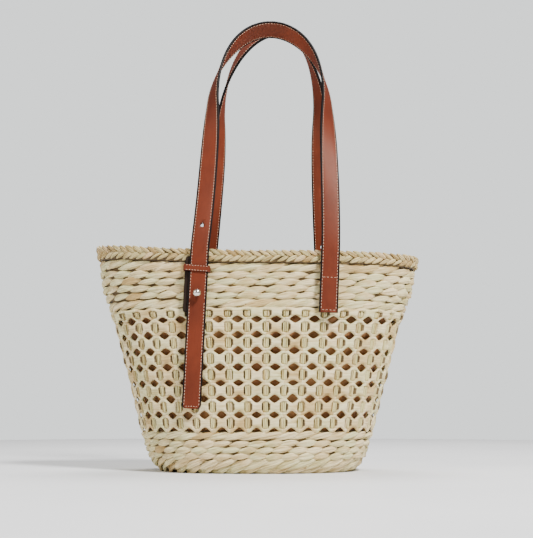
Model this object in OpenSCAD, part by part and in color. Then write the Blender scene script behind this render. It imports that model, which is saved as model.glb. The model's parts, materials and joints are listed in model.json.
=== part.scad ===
// Woven beach bag: an oval openwork basket with two folding shoulder handles.
// Every row of weaving, the warps, the lining and each leather or metal piece is a node of its own.
// Millimetres, Z up, the bag stands on z = 0 and its long side lies along X.

/* [Node] */

// Node to draw, or all of them

/* [Basket] */

// Length of the mouth
mouth_length = 335; // [330:1:340]
// Depth of the mouth, front to back
mouth_depth = 120; // [118:1:124]
// Height from the floor to the top of the rim braid
body_height = 221.5; // [220:0.5:223]
// Length of the basket at the floor line, before the base curves under
foot_length = 216; // [214:1:226]
// Depth of the basket at the floor line, before the base curves under
foot_depth = 152; // [150:1:154]
// How far the upper band stands out past the straight taper
band_flare = 4.8; // [3:0.2:6]
// How much higher the rim stands at the left end
left_rise = 12; // [0:1:14]
// Squareness of the oval, where 2 is an ellipse
squareness = 2.3; // [2.1:0.1:2.6]
// Number of warps round the basket
warp_count = 38; // [36:2:38]

/* [Rows] */

// Height of the rim braid
braid_height = 12.6; // [12:0.2:13]
// Height of the twisted row under the braid
upper_wrap_height = 10.3; // [10:0.1:10.6]
// Height of one thin twined row in the upper band
upper_twined_height = 6.65; // [6.55:0.05:6.75]
// Height of one openwork row, from hole centre to hole centre
lattice_pitch = 15.76; // [15.7:0.02:15.8]
// Height of one diamond hole
hole_height = 7; // [6:0.1:7.6]
// Width of the ribbon where it is pressed against a warp
waist_width = 6; // [5.6:0.1:7]
// Height of one thin twined row in the lower band
lower_twined_height = 6.2; // [6.1:0.05:6.3]
// Height of the twisted row at the base
base_wrap_height = 13.7; // [13.4:0.1:14]

/* [Handles] */

// Width of the leather straps
strap_width = 18.8; // [17.5:0.1:19.5]
// Thickness of the leather straps
strap_thickness = 3; // [2.6:0.1:3.2]
// Height of the top of the front handle above the floor
handle_top = 475; // [460:0.5:480]
// Half the distance between the legs of a handle at the rim
leg_half_spacing = 65; // [63:0.5:66]
// Half width of the front arch where its legs start to curve
arch_half_width = 59.5; // [57:0.5:61]
// Half width of the rear arch where its legs start to curve
rear_half_width = 55; // [54:0.5:61]
// Height of the curved part of the front handle
arch_rise = 90; // [84:1:94]
// How far both handles stand to the right of the middle at the rim
handle_shift = 8.5; // [4:0.5:9]
// How much further right the front handle leans at the top
handle_lean = 5; // [0:0.5:6]
// How much further right the rear handle leans at the top
rear_lean = 10; // [3:0.5:11]
// How much higher the rear handle stands
rear_rise = 4.5; // [0:0.5:5]
// Turn of the strap at the top of the arch
crown_twist = 135; // [115:1:138]
// Diameter of the button hole punched in a strap
button_hole = 4; // [3.8:0.1:4.4]
// Height of the free button hole above the floor
spare_hole_height = 246; // [240:1:256]
// Height of the stud above the floor
stud_height = 176; // [174:1:178]
// Diameter of the stud's ball
ball_diameter = 8; // [7:0.2:9]
// Height of the lower end of the free tail
tail_foot = 63; // [58:1:80]

/* [Lining] */

// Thickness of the lining cloth
cloth = 1; // [0.8:0.1:1.4]

/* [Hidden] */

$fn = 48;
full_turn = 360;
gap = 0.35;

// Levels of the rows, from the rim down
braid_foot = body_height - braid_height;
upper_wrap_foot = braid_foot - upper_wrap_height;
lattice_levels = 8;
lower_wrap_foot = base_wrap_height + 3 * lower_twined_height;
lower_wrap_height = 8.8;
lower_wrap_top = lower_wrap_foot + lower_wrap_height;
first_row_extra = 3.1;
first_hole_level = lower_wrap_top + (lattice_levels - 1) * lattice_pitch;
lattice_top = first_hole_level + lattice_pitch / 2 + first_row_extra;
twined_foot = upper_wrap_foot - 4 * upper_twined_height;

// Stations round the oval
plain_stations = 2 * warp_count;
sample_step = 1;
roll_height = 22;
roll_length = 19;
roll_depth = 18;
flare_height = 187;
flare_spread = 20;

// How far each kind of row stands out of the oval, and how thick it is
braid_out = 3.6;
braid_thickness = 8.5;
wrap_out = 1;
wrap_thickness = 5.4;
twined_out = 0.7;
twined_thickness = 4.4;
pad_out = 1.2;
waist_out = -1.5;
ribbon_thickness = 2.2;
warp_thickness = 2;
warp_width = 5;
lining_out = -9.5;
base_inset = 7;

// Half length and half depth of the oval at height z
function rolled(z, amount) = z >= roll_height ? 0
    : amount * (1 - sqrt(1 - pow((roll_height - z) / roll_height, 2)));
function half_length(z) = foot_length / 2 + (mouth_length - foot_length) / 2 * z / body_height
    + band_flare * exp(-pow((z - flare_height) / flare_spread, 2)) - rolled(z, roll_length);
function half_depth(z) = foot_depth / 2 + (mouth_depth - foot_depth) / 2 * z / body_height
    - rolled(z, roll_depth);

// A point of the oval, and its outward direction, at parameter angle t
function signed_power(v, p) = sign(v) * pow(abs(v), p);
function oval_point(a, b, t) =
    [a * signed_power(cos(t), 2 / squareness), b * signed_power(sin(t), 2 / squareness)];
function oval_normal(a, b, t) =
    let (
        x = signed_power(cos(t), 2 - 2 / squareness) / a,
        y = signed_power(sin(t), 2 - 2 / squareness) / b
    )
    [x, y] / norm([x, y]);

// Parameter angles at even steps along the oval at the rim and at the floor line
function run_table(a, b) = [
    for (t = 0, s = 0; t <= full_turn;
        s = s + norm(oval_point(a, b, t + sample_step) - oval_point(a, b, t)), t = t + sample_step) [s, t]
];
rim_table = run_table(mouth_length / 2, mouth_depth / 2);
foot_table = run_table(foot_length / 2, foot_depth / 2);
rim_run = rim_table[len(rim_table) - 1][0];
foot_run = foot_table[len(foot_table) - 1][0];
function turned(u) = u - floor(u);
function parameter(u, z) =
    let (k = min(1, max(0, z / body_height)))
    k * lookup(turned(u) * rim_run, rim_table) + (1 - k) * lookup(turned(u) * foot_run, foot_table);

// The upper band stands higher towards the left end
function raised(share, z) = z <= lattice_top ? 0
    : left_rise * pow(max(0, -share), 2) * (z - lattice_top) / (body_height - lattice_top);

// A point of the wall: share u of the way round, height z, moved out of the oval by out
function wall_point(u, z, out) =
    let (
        a = half_length(z),
        b = half_depth(z),
        t = parameter(u, z),
        p = oval_point(a, b, t) + out * oval_normal(a, b, t)
    )
    [p[0], p[1], z + raised(p[0] / a, z)];

// How far the wall is from the middle at length x, and how much it turns towards the end there
function wall_depth(x, z) =
    half_depth(z) * pow(1 - pow(abs(x) / half_length(z), squareness), 1 / squareness);
function wall_slope(x, z) =
    let (share = abs(x) / half_length(z))
    atan(
        half_depth(z) / half_length(z) * pow(share, squareness - 1)
        * pow(1 - pow(share, squareness), 1 / squareness - 1)
    );

// A closed band: sections[i] is the closed outline of its section at station i
module closed_band(sections) {
    n = len(sections);
    m = len(sections[0]);
    polyhedron(
        points = [for (s = sections, p = s) p],
        faces = [
            for (i = [0 : n - 1], j = [0 : m - 1], half = [0, 1])
                let (
                    a = i * m + j,
                    b = i * m + (j + 1) % m,
                    c = (i + 1) % n * m + (j + 1) % m,
                    d = (i + 1) % n * m + j
                )
                half == 0 ? [a, b, c] : [a, c, d]
        ]
    );
}

// An open bar: the same with both ends closed by a fan
module closed_bar(sections) {
    n = len(sections);
    m = len(sections[0]);
    polyhedron(
        points = [for (s = sections, p = s) p],
        faces = concat(
            [
                for (i = [0 : n - 2], j = [0 : m - 1], half = [0, 1])
                    let (
                        a = i * m + j,
                        b = i * m + (j + 1) % m,
                        c = (i + 1) * m + (j + 1) % m,
                        d = (i + 1) * m + j
                    )
                    half == 0 ? [a, b, c] : [a, c, d]
            ],
            [for (j = [1 : m - 2]) [0, j + 1, j]],
            [for (j = [1 : m - 2]) [(n - 1) * m, (n - 1) * m + j, (n - 1) * m + j + 1]]
        )
    );
}

// A plain row of weaving, whose stitches stand out at every second station
module plain_row(top, foot, out, thickness, relief, stagger) {
    closed_band([
        for (i = [0 : plain_stations - 1])
            let (u = i / plain_stations, lift = out - (i + stagger) % 2 * relief)
            [
                wall_point(u, top, lift),
                wall_point(u, top, out - thickness),
                wall_point(u, foot, out - thickness),
                wall_point(u, foot, lift)
            ]
    ]);
}

// The rim braid, with a rounded section
module braid_row() {
    middle = (body_height + braid_foot) / 2;
    closed_band([
        for (i = [0 : plain_stations - 1])
            let (u = i / plain_stations, lift = braid_out - (i % 2) * 0.8)
            [
                wall_point(u, body_height, lift - 2),
                wall_point(u, body_height, braid_out - braid_thickness + 1),
                wall_point(u, middle, braid_out - braid_thickness),
                wall_point(u, braid_foot, braid_out - braid_thickness + 1),
                wall_point(u, braid_foot, lift - 1.6),
                wall_point(u, middle, lift)
            ]
    ]);
}

// A thin twined row: each row's stitches are half a pitch along from the last
module twined_row(start, height, k) {
    plain_row(start - (k - 1) * height, start - k * height, twined_out, twined_thickness, 1.2, k);
}

// The base row rolls under the basket to meet the base panel
module base_roll() {
    shoulder = 0.45 * base_wrap_height;
    closed_band([
        for (i = [0 : plain_stations - 1])
            let (u = i / plain_stations, lift = wrap_out - (i % 2))
            [
                wall_point(u, base_wrap_height, lift),
                wall_point(u, base_wrap_height, wrap_out - wrap_thickness),
                wall_point(u, 0, -base_inset),
                wall_point(u, 0, lift),
                wall_point(u, shoulder, lift + 0.4)
            ]
    ]);
}

// An openwork row: narrow at the holes, full height and pressed in at the warps
function hole_top(k) = k == 1 ? lattice_top : first_hole_level - (k - 2) * lattice_pitch;
function hole_foot(k) = first_hole_level - (k - 1) * lattice_pitch;
module lattice_row(k) {
    top = hole_top(k);
    foot = hole_foot(k);
    middle = (top + foot) / 2;
    pitch_run = (rim_run * middle + foot_run * (body_height - middle)) / body_height / warp_count;
    waist = waist_width / pitch_run / 2;
    pad = 0.5 - 0.13;
    cut_top = k == 1 ? 0 : hole_height / 2;
    closed_band([
        for (i = [0 : warp_count - 1], place = [0 : 3])
            let (
                shift = [-waist, waist, pad, 1 - pad][place],
                open = place < 2 ? 0 : 1,
                u = (i + shift) / warp_count,
                out = open == 1 ? pad_out : waist_out,
                z1 = top - open * cut_top,
                z0 = foot + open * hole_height / 2
            )
            [
                wall_point(u, z1, out),
                wall_point(u, z1, out - ribbon_thickness),
                wall_point(u, z0, out - ribbon_thickness),
                wall_point(u, z0, out)
            ]
    ]);
}

// One warp: a flat bundle that lies on the waists of all the ribbons
module warp_cord(i) {
    levels = concat(
        [lattice_top - gap],
        [for (k = [1 : lattice_levels - 1]) hole_foot(k)],
        [lower_wrap_top + gap]
    );
    half = warp_width / 2;
    closed_bar([
        for (z = levels)
            let (
                u = i / warp_count,
                p = wall_point(u, z, waist_out + 0.15),
                q = wall_point(u, z, waist_out + 0.15 + warp_thickness),
                out = (q - p) / norm(q - p),
                along = [-out[1], out[0], 0]
            )
            [q - half * along, q + half * along, p + half * along, p - half * along]
    ]);
}

// The base panel: an oval plate with raised rings of weaving, inside the base row
function oval_outline(a, b) =
    [for (i = [0 : plain_stations - 1]) oval_point(a, b, full_turn * i / plain_stations)];
module oval_plate(inset) {
    polygon(oval_outline(half_length(0) - inset, half_depth(0) - inset));
}
module base_panel_shape() {
    panel_height = 4;
    ring_height = 0.8;
    ring_width = 6;
    ring_step = 11;
    linear_extrude(panel_height)
        oval_plate(base_inset + gap);
    for (ring = [1 : 3])
        translate([0, 0, panel_height])
            linear_extrude(ring_height)
                difference() {
                    oval_plate(base_inset + ring_step * ring);
                    oval_plate(base_inset + ring_step * ring + ring_width);
                }
}

// The lining: a cloth bag with its floor just above the base panel.
// Each level is its height and the height whose oval it follows.
module lining_shape() {
    stations = 48;
    floor_height = 6;
    floor_level = 1.5;
    low_level = 80;
    high_level = 140;
    lining_top = upper_wrap_foot + 6;
    levels = [
        [floor_height, floor_level],
        [roll_height, roll_height],
        [low_level, low_level],
        [high_level, high_level],
        [lattice_top, lattice_top],
        [flare_height, flare_height],
        [lining_top, lining_top]
    ];
    count = len(levels);
    loops = concat(
        [for (l = levels) [l[0], l[1], lining_out]],
        [
            for (k = [count - 1 : -1 : 0])
                [levels[k][0] + (k == 0 ? cloth : 0), levels[k][1], lining_out - cloth]
        ]
    );
    last = len(loops) - 1;
    polyhedron(
        points = [
            for (l = loops, i = [0 : stations - 1])
                let (p = wall_point(i / stations, l[1], l[2]))
                [p[0], p[1], p[2] + l[0] - l[1]]
        ],
        faces = concat(
            [
                for (k = [0 : last - 1], i = [0 : stations - 1], half = [0, 1])
                    let (
                        j = (i + 1) % stations,
                        a = k * stations + i,
                        b = k * stations + j,
                        c = (k + 1) * stations + j,
                        d = (k + 1) * stations + i
                    )
                    half == 0 ? [a, c, b] : [a, d, c]
            ],
            [[for (i = [0 : stations - 1]) i]],
            [[for (i = [stations - 1 : -1 : 0]) last * stations + i]]
        )
    );
}

// Handle path. A handle is drawn at the front, in the middle; place_front and place_rear move it.
// All the leather on the wall lies in one plane, which follows the wall from the hinge line down.
wall_tilt = 2.3;
leg_slant = 2.5;
innermost_edge = leg_half_spacing - handle_shift - strap_width / 2 - 1;
braid_middle = body_height - braid_height / 2;
tab_thickness = 2;
wall_contact = wall_depth(innermost_edge, braid_middle) + braid_out + 0.1;
outer_face = wall_contact + tab_thickness + gap + strap_thickness;
hinge_height = body_height + 3;
crown_height = handle_top - 6;
crown_depth = 10.8;
arch_foot = crown_height - arch_rise;
arch_end = hinge_height + gap;
leg_share = 0.5;
leg_bend = 1.2;
strap_sections = 64;
front_lean_curve = 3.4;
rear_lean_curve = -1;

module place_front() {
    translate([handle_shift, 0, 0])
        children();
}

module place_rear() {
    translate([handle_shift, 0, 0])
        rotate([0, 0, 180])
            children();
}

// The frame of a leg on the wall: x across the strap, y into the wall from the leg's outer face,
// z up from the hinge line
module on_wall(side) {
    translate([side * leg_half_spacing, -outer_face, hinge_height])
        rotate([-wall_tilt, 0, 0])
            rotate([0, leg_slant, 0])
                children();
}
function below_hinge(z) = z - hinge_height;

// The run v goes from -1 at the adjustable leg over the crown at 0 to 1 at the sewn leg
function leg_x(z, half) = half
    + (leg_half_spacing - half) * pow((arch_foot - z) / (arch_foot - arch_end), leg_bend);
function arch_plan(v, half, rise) =
    let (w = abs(v))
    w < leg_share
    ? let (a = 90 * w / leg_share) [half * sin(a), arch_foot + rise * cos(a)]
    : let (z = arch_foot - (arch_foot - arch_end) * (w - leg_share) / (1 - leg_share)) [leg_x(z, half), z];
function arch_depth(z) =
    let (
        leg = outer_face - strap_thickness / 2,
        share = max(0, z - arch_end) / (crown_height - arch_end)
    )
    -leg + (leg - crown_depth) * pow(share, leg_bend);
// A curve above 0 leans near the hinge line, one under 0 leans near the top
function lean_share(z, curve) =
    let (share = max(0, z - arch_end) / (crown_height - arch_end))
    (1 - exp(-curve * share)) / (1 - exp(-curve));
// An arch is [half width, lean, lean curve, rise]
function arch_point(v, arch) =
    let (p = arch_plan(v, arch[0], arch[3]))
    [sign(v) * p[0] + arch[1] * lean_share(p[1], arch[2]), arch_depth(p[1]), p[1]];
function arch_tangent(v, arch) =
    let (e = 0.004, d = arch_point(min(1, v + e), arch) - arch_point(max(-1, v - e), arch))
    d / norm(d);

// Twist of the strap, from flat on the wall to face up over the crown
crown_reach = 118;
crown_quarter = 116;
function run_from_crown(v) =
    let (w = abs(v))
    w < leg_share ? crown_quarter * w / leg_share : crown_quarter + arch_foot - arch_plan(v, 0, 0)[1];
function twist_at(v) = crown_twist * exp(-pow(run_from_crown(v) / crown_reach, 2));
function arch_section(v, arch) =
    let (
        t = arch_tangent(v, arch),
        ahead = [0, -1, 0],
        flat = ahead - (ahead * t) * t,
        f = flat / norm(flat),
        inward = cross(t, f),
        w = cos(twist_at(v)) * inward + sin(twist_at(v)) * f,
        n = cross(w, t),
        p = arch_point(v, arch),
        x = strap_width / 2 * w,
        y = strap_thickness / 2 * n,
        corners = [p - x - y, p + x - y, p + x + y, p - x + y]
    )
    abs(v) < 1 ? corners : [for (c = corners) [c[0], c[1], arch_end]];

front_arch = [arch_half_width, handle_lean, front_lean_curve, arch_rise];
rear_arch = [rear_half_width, -rear_lean, rear_lean_curve, arch_rise + rear_rise];
module handle_strap_shape(arch) {
    hole_x = arch[1] * lean_share(spare_hole_height, arch[2]) - leg_x(spare_hole_height, arch[0]);
    difference() {
        closed_bar([for (i = [0 : strap_sections]) arch_section(2 * i / strap_sections - 1, arch)]);
        translate([hole_x, 0, spare_hole_height])
            rotate([90, 0, 0])
                cylinder(h = outer_face + 5, d = button_hole);
    }
}

// The strap under the keeper, buttoned on the stud
buttoned_foot = below_hinge(stud_height) - 11;
leg_top = -gap - 0.45;
module buttoned_strap_shape() {
    on_wall(-1)
        difference() {
            translate([-strap_width / 2, 0, buttoned_foot])
                cube([strap_width, strap_thickness, leg_top - buttoned_foot]);
            translate([0, strap_thickness + 1, below_hinge(stud_height)])
                rotate([90, 0, 0])
                    cylinder(h = strap_thickness + 2, d = button_hole + 0.6);
        }
}

// The free tail hangs from its upper edge, with rounded corners at its foot
tail_top = buttoned_foot - gap;
tail_end = below_hinge(tail_foot);
module strap_tail_shape() {
    corner = 3.5;
    half = strap_width / 2;
    on_wall(-1)
        translate([0, strap_thickness, 0])
            rotate([90, 0, 0])
                linear_extrude(strap_thickness)
                    union() {
                        translate([-half, tail_end + corner])
                            square([strap_width, tail_top - tail_end - corner]);
                        translate([-half + corner, tail_end])
                            square([strap_width - 2 * corner, corner + 1]);
                        for (x = [-1, 1])
                            translate([x * (half - corner), tail_end + corner])
                                circle(r = corner);
                    }
}

// The sewn end: the strap and its filler, stitched flat to the upper band
sewn_foot = below_hinge(158);
wall_side = strap_thickness + gap + tab_thickness;
module sewn_end_shape() {
    on_wall(1)
        translate([-strap_width / 2, 0, sewn_foot])
            cube([strap_width, wall_side, leg_top - sewn_foot]);
}

// The thread: a box of stitches on the face of the sewn end
module sewn_end_thread_shape() {
    inset = 2;
    stitch = 2.2;
    pitch = 3.1;
    thread = 0.6;
    box_top = below_hinge(192.5);
    wide = strap_width - 2 * inset;
    tall = box_top - sewn_foot - inset;
    columns = floor(wide / pitch);
    rows = floor(tall / pitch);
    on_wall(1)
        translate([-wide / 2, -thread, sewn_foot + inset]) {
            for (i = [0 : columns - 1], z = [0, tall - thread])
                translate([(i + 0.5) * wide / columns - stitch / 2, 0, z])
                    cube([stitch, thread, thread]);
            for (i = [0 : rows - 1], x = [0, wide - thread])
                translate([x, 0, (i + 0.5) * tall / rows - stitch / 2])
                    cube([thread, thread, stitch]);
        }
}

// The anchor tab behind the adjustable leg
tab_width = 21;
tab_top = below_hinge(213.5);
tab_foot = below_hinge(158);
tab_shift = 3.4;
tab_front = strap_thickness + gap;
head_recess = 9.4;
shank = 3;
module anchor_tab_shape() {
    on_wall(-1)
        difference() {
            translate([-tab_shift - tab_width / 2, tab_front, tab_foot])
                cube([tab_width, tab_thickness, tab_top - tab_foot]);
            translate([0, wall_side + 1, below_hinge(stud_height)])
                rotate([90, 0, 0]) {
                    cylinder(h = tab_thickness + 2, d = shank + 0.4);
                    cylinder(h = 1 + 1, d = head_recess);
                }
        }
}

// The keeper passes behind the tab and round the strap
keeper_foot = below_hinge(197.6);
keeper_height = 7.2;
keeper_width = 26.6;
keeper_wall = 1.2;
keeper_shift = 1.9;
module keeper_loop_shape() {
    front = -gap - keeper_wall;
    back = wall_side + 0.1 + keeper_wall;
    on_wall(-1)
        translate([-keeper_shift - keeper_width / 2, front, keeper_foot])
            difference() {
                cube([keeper_width, back - front, keeper_height]);
                translate([keeper_wall, keeper_wall, -1])
                    cube([keeper_width - 2 * keeper_wall, back - front - 2 * keeper_wall, keeper_height + 2]);
            }
}

// The stud: a screw with a flat head behind the tab, and the ball screwed on it
head_thickness = 0.8;
module stud_screw_shape() {
    on_wall(-1)
        translate([0, wall_side, below_hinge(stud_height)])
            rotate([90, 0, 0]) {
                cylinder(h = head_thickness, d = head_recess - 0.6);
                cylinder(h = tab_thickness + 5, d = shank);
            }
}

module stud_ball_shape() {
    neck = 3.8;
    neck_length = tab_front + gap + 0.6;
    bore_depth = 5.6;
    on_wall(-1)
        translate([0, tab_front, below_hinge(stud_height)])
            rotate([90, 0, 0])
                difference() {
                    union() {
                        cylinder(h = neck_length + 1, d = neck);
                        translate([0, 0, neck_length + ball_diameter / 2 - 0.6])
                            sphere(d = ball_diameter);
                    }
                    translate([0, 0, -1])
                        cylinder(h = bore_depth + 1, d = shank + 0.3);
                }
}

// Leather patches inside the wall that carry the stitches. turn is 1 at the front and -1 at the rear.
patch = [18, 1.2, 34];
patch_foot = 160;
patch_gap = 1.4;
module backing_shape(side, turn) {
    level = patch_foot + patch[2] / 2;
    place = abs(turn * side * leg_half_spacing + handle_shift);
    towards_end = sign(side) * wall_slope(place, level);
    depth = wall_depth(place, level) - wrap_thickness + wrap_out - patch_gap;
    translate([side * leg_half_spacing, -depth, patch_foot])
        rotate([0, 0, towards_end])
            translate([-patch[0] / 2, 0, 0])
                cube(patch);
}

module rim_braid() {
    color("khaki") braid_row();
}

module upper_wrap_row_1() {
    color("palegoldenrod") plain_row(braid_foot, upper_wrap_foot, wrap_out, wrap_thickness, 1, 0);
}

module upper_twined_row_1() {
    color("wheat") twined_row(upper_wrap_foot, upper_twined_height, 1);
}

module upper_twined_row_2() {
    color("wheat") twined_row(upper_wrap_foot, upper_twined_height, 2);
}

module upper_twined_row_3() {
    color("wheat") twined_row(upper_wrap_foot, upper_twined_height, 3);
}

module upper_twined_row_4() {
    color("wheat") twined_row(upper_wrap_foot, upper_twined_height, 4);
}

module upper_wrap_row_2() {
    color("palegoldenrod") plain_row(twined_foot, lattice_top, wrap_out, wrap_thickness, 1, 1);
}

module lattice_row_1() {
    color("cornsilk") lattice_row(1);
}

module lattice_row_2() {
    color("cornsilk") lattice_row(2);
}

module lattice_row_3() {
    color("cornsilk") lattice_row(3);
}

module lattice_row_4() {
    color("cornsilk") lattice_row(4);
}

module lattice_row_5() {
    color("cornsilk") lattice_row(5);
}

module lattice_row_6() {
    color("cornsilk") lattice_row(6);
}

module lattice_row_7() {
    color("cornsilk") lattice_row(7);
}

module lattice_row_8() {
    color("cornsilk") lattice_row(8);
}

module warp_cords() {
    color("tan") for (i = [0 : warp_count - 1]) warp_cord(i);
}

module lower_wrap_row() {
    color("palegoldenrod") plain_row(lower_wrap_top, lower_wrap_foot, wrap_out, wrap_thickness, 1, 0);
}

module lower_twined_row_1() {
    color("wheat") twined_row(lower_wrap_foot, lower_twined_height, 1);
}

module lower_twined_row_2() {
    color("wheat") twined_row(lower_wrap_foot, lower_twined_height, 2);
}

module lower_twined_row_3() {
    color("wheat") twined_row(lower_wrap_foot, lower_twined_height, 3);
}

module base_wrap_row() {
    color("palegoldenrod") base_roll();
}

module base_panel() {
    color("wheat") base_panel_shape();
}

module lining() {
    color("peru") lining_shape();
}

module front_handle_strap() {
    color("sienna") place_front() handle_strap_shape(front_arch);
}

module front_buttoned_strap() {
    color("sienna") place_front() buttoned_strap_shape();
}

module front_strap_tail() {
    color("sienna") place_front() strap_tail_shape();
}

module front_sewn_end() {
    color("sienna") place_front() sewn_end_shape();
}

module front_sewn_end_thread() {
    color("wheat") place_front() sewn_end_thread_shape();
}

module front_anchor_tab() {
    color("saddlebrown") place_front() anchor_tab_shape();
}

module front_keeper_loop() {
    color("sienna") place_front() keeper_loop_shape();
}

module front_stud_screw() {
    color("silver") place_front() stud_screw_shape();
}

module front_stud_ball() {
    color("silver") place_front() stud_ball_shape();
}

module front_sewn_end_backing() {
    color("tan") place_front() backing_shape(1, 1);
}

module front_tab_backing() {
    color("tan") place_front() backing_shape(-1, 1);
}

module rear_handle_strap() {
    color("sienna") place_rear() handle_strap_shape(rear_arch);
}

module rear_buttoned_strap() {
    color("sienna") place_rear() buttoned_strap_shape();
}

module rear_strap_tail() {
    color("sienna") place_rear() strap_tail_shape();
}

module rear_sewn_end() {
    color("sienna") place_rear() sewn_end_shape();
}

module rear_sewn_end_thread() {
    color("wheat") place_rear() sewn_end_thread_shape();
}

module rear_anchor_tab() {
    color("saddlebrown") place_rear() anchor_tab_shape();
}

module rear_keeper_loop() {
    color("sienna") place_rear() keeper_loop_shape();
}

module rear_stud_screw() {
    color("silver") place_rear() stud_screw_shape();
}

module rear_stud_ball() {
    color("silver") place_rear() stud_ball_shape();
}

module rear_sewn_end_backing() {
    color("tan") place_rear() backing_shape(1, -1);
}

module rear_tab_backing() {
    color("tan") place_rear() backing_shape(-1, -1);
}

rim_braid();
upper_wrap_row_1();
upper_twined_row_1();
upper_twined_row_2();
upper_twined_row_3();
upper_twined_row_4();
upper_wrap_row_2();
lattice_row_1();
lattice_row_2();
lattice_row_3();
lattice_row_4();
lattice_row_5();
lattice_row_6();
lattice_row_7();
lattice_row_8();
warp_cords();
lower_wrap_row();
lower_twined_row_1();
lower_twined_row_2();
lower_twined_row_3();
base_wrap_row();
base_panel();
lining();
front_handle_strap();
front_buttoned_strap();
front_strap_tail();
front_sewn_end();
front_sewn_end_thread();
front_anchor_tab();
front_keeper_loop();
front_stud_screw();
front_stud_ball();
front_sewn_end_backing();
front_tab_backing();
rear_handle_strap();
rear_buttoned_strap();
rear_strap_tail();
rear_sewn_end();
rear_sewn_end_thread();
rear_anchor_tab();
rear_keeper_loop();
rear_stud_screw();
rear_stud_ball();
rear_sewn_end_backing();
rear_tab_backing();
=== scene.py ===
"""The looks of a woven beach bag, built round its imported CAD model. All lengths are in metres."""
import json
import math

import bmesh
import bpy
import numpy as np
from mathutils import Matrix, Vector


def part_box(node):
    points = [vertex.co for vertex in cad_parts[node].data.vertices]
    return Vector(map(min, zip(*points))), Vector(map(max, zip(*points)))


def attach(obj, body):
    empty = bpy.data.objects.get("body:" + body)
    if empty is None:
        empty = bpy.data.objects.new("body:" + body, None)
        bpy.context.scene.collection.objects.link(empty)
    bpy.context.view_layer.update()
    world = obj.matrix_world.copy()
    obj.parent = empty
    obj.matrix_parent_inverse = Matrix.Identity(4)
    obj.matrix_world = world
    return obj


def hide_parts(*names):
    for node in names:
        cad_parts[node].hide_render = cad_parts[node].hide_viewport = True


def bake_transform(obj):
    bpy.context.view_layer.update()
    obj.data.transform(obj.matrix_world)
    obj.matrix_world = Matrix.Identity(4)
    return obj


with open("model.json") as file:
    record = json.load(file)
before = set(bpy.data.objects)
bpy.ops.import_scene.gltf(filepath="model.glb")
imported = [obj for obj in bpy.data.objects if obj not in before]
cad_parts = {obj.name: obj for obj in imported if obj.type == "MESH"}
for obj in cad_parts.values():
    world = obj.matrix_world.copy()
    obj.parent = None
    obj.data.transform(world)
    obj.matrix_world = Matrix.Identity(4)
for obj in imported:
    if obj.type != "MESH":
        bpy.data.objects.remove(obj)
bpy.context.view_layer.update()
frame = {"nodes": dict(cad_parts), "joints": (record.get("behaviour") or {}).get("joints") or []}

MM = 0.001
draws = np.random.default_rng(11)
joints = {joint["name"]: joint for joint in frame["joints"]}

# -------- the wall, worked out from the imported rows

WARPS = 38
SQUARENESS = 2.3
HINGE_OVER_RIM = 3 * MM
BRAID_OUT = 3.6 * MM
ROLL = 22 * MM
PANEL_INSET = 7.35 * MM
LATTICE_ROWS = 8

HINGE = Vector(joints["front_handle_fold"]["pos_m"])
RIM = HINGE.z - HINGE_OVER_RIM
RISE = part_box("rim_braid")[1].z - RIM


def foot(node):
    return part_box(node)[0].z


def row_names():
    """The woven rows above the base, from the lowest up, and how far each box stands out of the oval."""
    rows = [("lower_twined_row_2", 0.7 * MM), ("lower_twined_row_1", -0.5 * MM), ("lower_wrap_row", MM)]
    rows += [(f"lattice_row_{k}", 0.65 * MM) for k in range(LATTICE_ROWS, 0, -1)]
    rows += [("upper_wrap_row_2", 0.0)]
    rows += [(f"upper_twined_row_{k}", (0.7 - 1.2 * (k % 2)) * MM) for k in range(4, 0, -1)]
    return rows + [("upper_wrap_row_1", MM)]


ROWS = row_names()
LATTICE_TOP = foot("upper_wrap_row_2")
BRAID_FOOT = foot("rim_braid")
tops = [foot(node) for node, out in ROWS[1:]] + [BRAID_FOOT, (RIM + BRAID_FOOT) / 2]
length_knots = [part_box(node)[1].x - out for node, out in ROWS] + [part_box("rim_braid")[1].x - BRAID_OUT]
depth_levels = [foot("lower_twined_row_2"), BRAID_FOOT]
depth_knots = [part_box("lower_twined_row_2")[1].y - 0.7 * MM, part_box("upper_wrap_row_1")[1].y - MM]
FLOOR_HALF = [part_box("base_panel")[1][axis] + PANEL_INSET for axis in (0, 1)]


def straight(z, levels, knots):
    """Linear between the knots, and past both ends. A long list takes its lower slope from many rows."""
    far = -8 if len(knots) > 8 else 1
    start = (knots[far] - knots[0]) / (levels[far] - levels[0])
    end = (knots[-1] - knots[-2]) / (levels[-1] - levels[-2])
    inside = np.interp(z, levels, knots)
    below = knots[0] + start * (z - levels[0])
    above = knots[-1] + end * (z - levels[-1])
    return np.where(z < levels[0], below, np.where(z > levels[-1], above, inside))


def half_spans(z):
    """Half length and half depth of the oval at height z. The base rolls under below ROLL."""
    under = 1 - np.sqrt(1 - np.clip((ROLL - z) / ROLL, 0, 1) ** 2)
    spans = []
    sides = ((tops, length_knots, FLOOR_HALF[0]), (depth_levels, depth_knots, FLOOR_HALF[1]))
    for levels, knots, floor in sides:
        rolled = straight(np.zeros(1), levels, knots)[0] - floor
        spans.append(straight(z, levels, knots) - rolled * under)
    return spans


def signed_power(value, power):
    return np.sign(value) * np.abs(value) ** power


def oval(a, b, angle):
    """Points of the squarish oval with half spans a and b, and its outward direction there: x, y, nx, ny."""
    c, s = np.cos(angle), np.sin(angle)
    x, y = a * signed_power(c, 2 / SQUARENESS), b * signed_power(s, 2 / SQUARENESS)
    nx, ny = signed_power(c, 2 - 2 / SQUARENESS) / a, signed_power(s, 2 - 2 / SQUARENESS) / b
    size = np.hypot(nx, ny)
    return x, y, nx / size, ny / size


ANGLES = np.linspace(0, 2 * math.pi, 361)


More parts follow.
